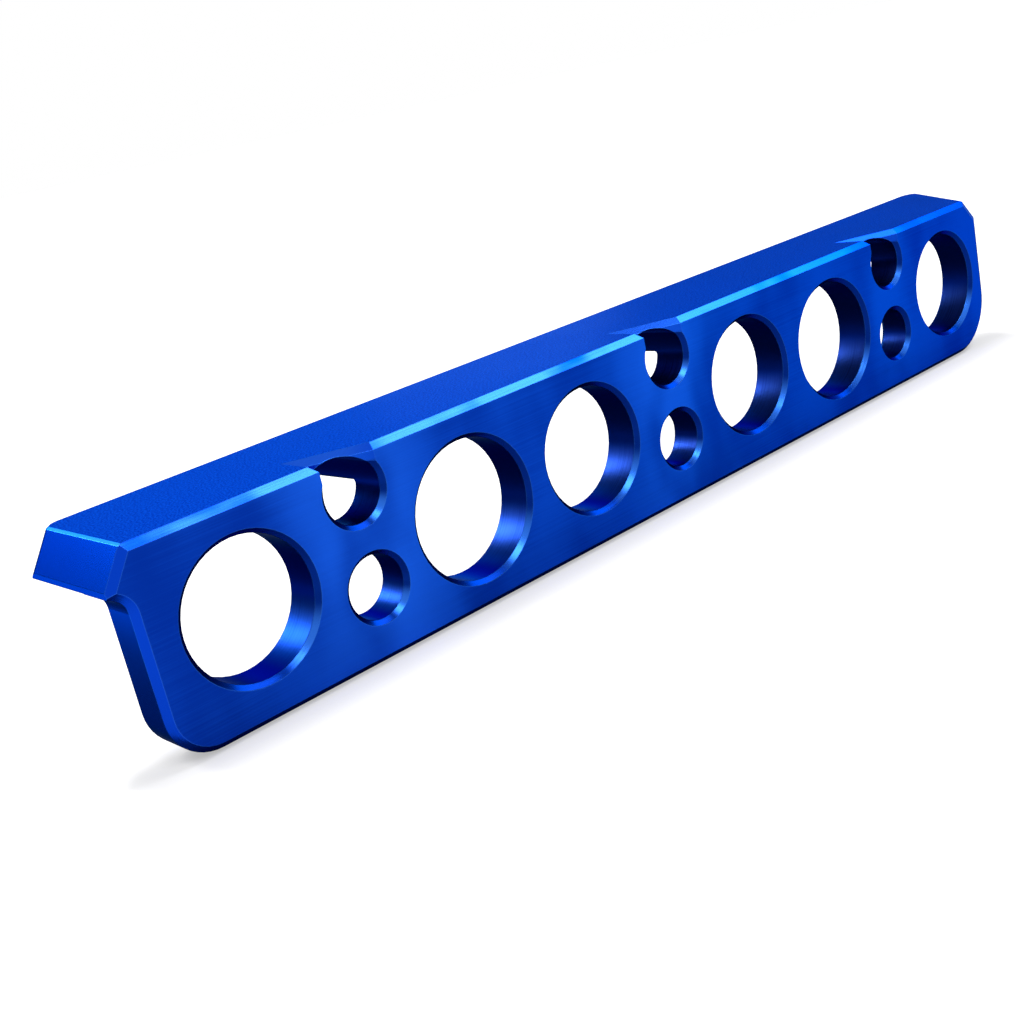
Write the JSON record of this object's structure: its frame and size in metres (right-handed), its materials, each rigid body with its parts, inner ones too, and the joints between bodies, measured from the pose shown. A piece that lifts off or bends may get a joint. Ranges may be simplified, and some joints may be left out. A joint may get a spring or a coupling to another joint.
{
  "type": "tool holder bar",
  "caption": "L-section bar with a row of round tool holes in its upright wall, and between them small holes, some of which open through the top edge. It is fixed by its flange.",
  "frame": {"origin": "on the flange's outer face, at the middle of the row of holes and of the flange's depth", "axes": "+X along the bar, +Y from the holed wall's front face back along the flange, +Z out of the flange's outer face, away from the wall"},
  "size_m": [0.307, 0.0334, 0.0428],
  "materials": {
    "anodised_aluminium": "satin, anodised in deep blue"
  },
  "bodies": {
    "root": {"tool_bar": "anodised_aluminium"}
  },
  "joints": []
}
